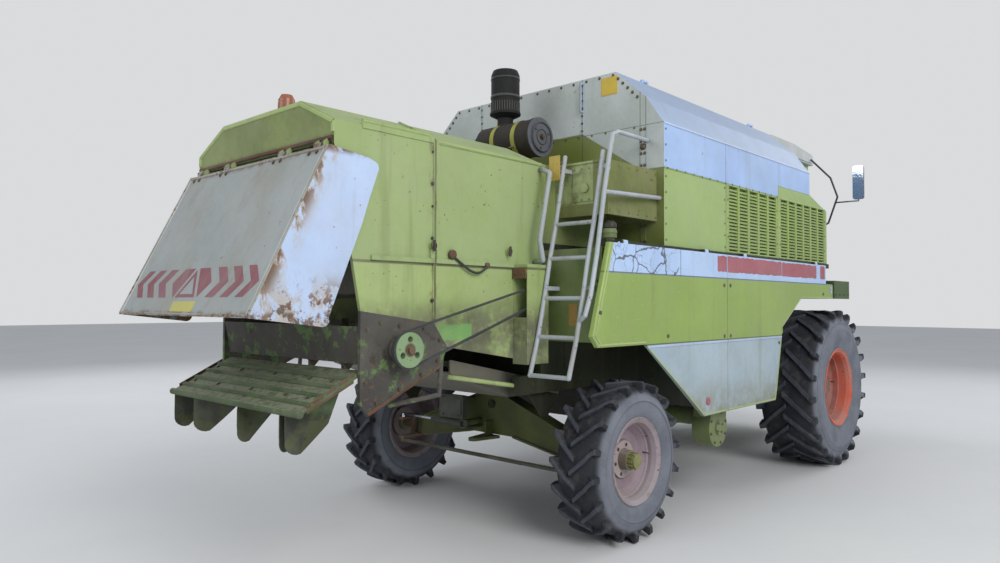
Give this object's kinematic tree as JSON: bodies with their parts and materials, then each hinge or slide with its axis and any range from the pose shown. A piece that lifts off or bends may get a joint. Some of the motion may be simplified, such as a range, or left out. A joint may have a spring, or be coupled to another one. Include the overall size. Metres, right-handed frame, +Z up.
{
  "type": "combine harvester",
  "caption": "Self-propelled combine harvester without header: cab, grain tank, straw hood with flap, chopper, side doors, drive wheels and steered rear axle.",
  "frame": {"origin": "on the ground, below the middle of the overall length and width", "axes": "+X forward, +Y to the machine's left, +Z up"},
  "size_m": [8.844, 3.294, 3.88],
  "materials": {
    "green_paint": "satin, sun-faded",
    "white_paint": "satin, dusty",
    "dark_green_paint": "satin, dusty",
    "dark_steel": "matt, dusty",
    "grey_plastic": "matt",
    "walker_steel": "worn",
    "rim_front": "satin",
    "rim_rear": "matt, faded",
    "axle_red": "matt, dusty",
    "tyre": "matt, dusty",
    "belt": "matt",
    "chrome_rod": "polished",
    "engine": "matt",
    "glass": "clear",
    "seat": "woven",
    "amber": "gloss"
  },
  "bodies": {
    "root": {"chassis_frame": "green_paint", "front_axle": "green_paint", "threshing_body": "dark_green_paint", "straw_hood": "green_paint", "straw_walkers": "walker_steel", "chopper_housing": "green_paint", "chopper_belt": "belt", "sieve_box": "dark_steel", "grain_tank": "white_paint", "side_louvres": "green_paint", "engine": "engine", "engine_bay": "green_paint", "air_cleaner": "grey_plastic", "rear_ladder": "white_paint", "fuel_tank": "green_paint", "grain_elevators": "green_paint", "platform": "dark_green_paint", "cab_shell": "green_paint", "cab_roof": "white_paint", "cab_windows": "glass", "cab_interior": "seat", "mirrors": "grey_plastic", "lamps": "amber", "rear_axle": "green_paint", "auger_elbow": "green_paint", "side_drives": "dark_steel", "drive_belts": "belt"},
    "hood_flap": {"hood_flap": "white_paint"},
    "chopper_rotor": {"chopper_rotor": "dark_steel"},
    "spreader": {"spreader": "green_paint"},
    "tank_lid_left": {"tank_lid_left": "white_paint"},
    "tank_lid_right": {"tank_lid_right": "white_paint"},
    "door_rear_right": {"door_rear_right": "green_paint"},
    "door_rear_left": {"door_rear_left": "green_paint"},
    "door_front_right": {"door_front_right": "green_paint"},
    "door_front_left": {"door_front_left": "green_paint"},
    "cab_door": {"cab_door": "green_paint", "cab_door_window": "glass"},
    "feeder_house": {"feeder_house": "green_paint", "feeder_chain": "walker_steel"},
    "lift_barrels": {"lift_barrels": "dark_steel"},
    "lift_rods": {"lift_rods": "chrome_rod"},
    "knuckle_left": {"knuckle_left": "axle_red"},
    "knuckle_right": {"knuckle_right": "axle_red"},
    "tie_rod": {"tie_rod": "dark_steel"},
    "steer_barrel": {"steer_barrel": "grey_plastic"},
    "steer_rod": {"steer_rod": "chrome_rod"},
    "wheel_front_left": {"tyre_front_left": "tyre", "rim_front_left": "rim_front"},
    "wheel_front_right": {"tyre_front_right": "tyre", "rim_front_right": "rim_front"},
    "wheel_rear_left": {"tyre_rear_left": "tyre", "rim_rear_left": "rim_rear"},
    "wheel_rear_right": {"tyre_rear_right": "tyre", "rim_rear_right": "rim_rear"},
    "auger_tube": {"auger_tube": "green_paint"}
  },
  "joints": [
    {"name": "wheel_front_left_spin", "type": "hinge", "parent": "root", "child": "wheel_front_left", "pos_m": [2.318, 1.33, 0.86], "axis": [0, 1, 0], "continuous": true},
    {"name": "wheel_front_right_spin", "type": "hinge", "parent": "root", "child": "wheel_front_right", "pos_m": [2.318, -1.33, 0.86], "axis": [0, 1, 0], "continuous": true},
    {"name": "steer_right", "type": "hinge", "parent": "root", "child": "knuckle_right", "pos_m": [-1.562, -1, 0.6], "axis": [0, 0, 1], "range_deg": [-32, 32]},
    {"name": "steer_left", "type": "hinge", "parent": "root", "child": "knuckle_left", "pos_m": [-1.562, 1, 0.6], "axis": [0, 0, 1], "range_deg": [-32, 32]},
    {"name": "wheel_rear_left_spin", "type": "hinge", "parent": "knuckle_left", "child": "wheel_rear_left", "pos_m": [-1.562, 1.27, 0.6], "axis": [0, 1, 0], "continuous": true},
    {"name": "wheel_rear_right_spin", "type": "hinge", "parent": "knuckle_right", "child": "wheel_rear_right", "pos_m": [-1.562, -1.27, 0.6], "axis": [0, 1, 0], "continuous": true},
    {"name": "tie_rod_pivot", "type": "hinge", "parent": "knuckle_right", "child": "tie_rod", "pos_m": [-1.792, -1, 0.485], "axis": [0, 0, 1], "range_deg": [-32, 32]},
    {"name": "steer_barrel_pivot", "type": "hinge", "parent": "root", "child": "steer_barrel", "pos_m": [-1.792, 0.15, 0.726], "axis": [0, 0, 1], "range_deg": [-2, 2]},
    {"name": "steer_rod_slide", "type": "slide", "parent": "steer_barrel", "child": "steer_rod", "axis": [0, 1, 0], "range_m": [-0.13, 0.13]},
    {"name": "feeder_lift", "type": "hinge", "parent": "root", "child": "feeder_house", "pos_m": [2.468, 0, 1.42], "axis": [0, -1, 0], "range_deg": [-8, 18]},
    {"name": "lift_barrel_pivot", "type": "hinge", "parent": "root", "child": "lift_barrels", "pos_m": [2.518, 0, 0.62], "axis": [0, -1, 0], "range_deg": [-9, 18]},
    {"name": "lift_rod_slide", "type": "slide", "parent": "lift_barrels", "child": "lift_rods", "axis": [0.9869, 0, 0.1615], "range_m": [-0.13, 0.28]},
    {"name": "hood_flap_hinge", "type": "hinge", "parent": "root", "child": "hood_flap", "pos_m": [-3.907, 0, 2.715], "axis": [0, 1, 0], "range_deg": [0, 60]},
    {"name": "spreader_tilt", "type": "hinge", "parent": "root", "child": "spreader", "pos_m": [-3.642, 0, 1.36], "axis": [0, 1, 0], "range_deg": [-15, 15]},
    {"name": "chopper_spin", "type": "hinge", "parent": "root", "child": "chopper_rotor", "pos_m": [-3.397, 0, 1.493], "axis": [0, 1, 0], "continuous": true},
    {"name": "tank_lid_left_hinge", "type": "hinge", "parent": "root", "child": "tank_lid_left", "pos_m": [0.818, 0.953, 3.775], "axis": [-1, 0, 0], "range_deg": [0, 110]},
    {"name": "door_rear_left_hinge", "type": "hinge", "parent": "root", "child": "door_rear_left", "pos_m": [-1.082, 1.475, 2.24], "axis": [1, 0, 0], "range_deg": [0, 75]},
    {"name": "door_front_left_hinge", "type": "hinge", "parent": "root", "child": "door_front_left", "pos_m": [1.118, 1.475, 2.24], "axis": [1, 0, 0], "range_deg": [0, 75]},
    {"name": "tank_lid_right_hinge", "type": "hinge", "parent": "root", "child": "tank_lid_right", "pos_m": [0.818, -0.953, 3.775], "axis": [1, 0, 0], "range_deg": [0, 110]},
    {"name": "door_rear_right_hinge", "type": "hinge", "parent": "root", "child": "door_rear_right", "pos_m": [-1.082, -1.475, 2.24], "axis": [-1, 0, 0], "range_deg": [0, 75]},
    {"name": "door_front_right_hinge", "type": "hinge", "parent": "root", "child": "door_front_right", "pos_m": [1.118, -1.475, 2.24], "axis": [-1, 0, 0], "range_deg": [0, 75]},
    {"name": "cab_door_hinge", "type": "hinge", "parent": "root", "child": "cab_door", "pos_m": [2.664, 0.813, 2.8], "axis": [0, 0, 1], "range_deg": [0, 90]},
    {"name": "auger_swing", "type": "hinge", "parent": "root", "child": "auger_tube", "pos_m": [2.15, 1.47, 3.3], "axis": [0, 0, -1], "range_deg": [0, 100]}
  ],
  "couplings": [
    {"joint": "steer_left", "follows": "steer_right", "ratio": 1},
    {"joint": "tie_rod_pivot", "follows": "steer_right", "ratio": -1},
    {"joint": "steer_barrel_pivot", "follows": "steer_right", "ratio": 0.013},
    {"joint": "steer_rod_slide", "follows": "steer_right", "m_per_rad": -0.218},
    {"joint": "lift_barrel_pivot", "follows": "feeder_lift", "ratio": 0.87},
    {"joint": "lift_rod_slide", "follows": "feeder_lift", "m_per_rad": 0.785}
  ]
}
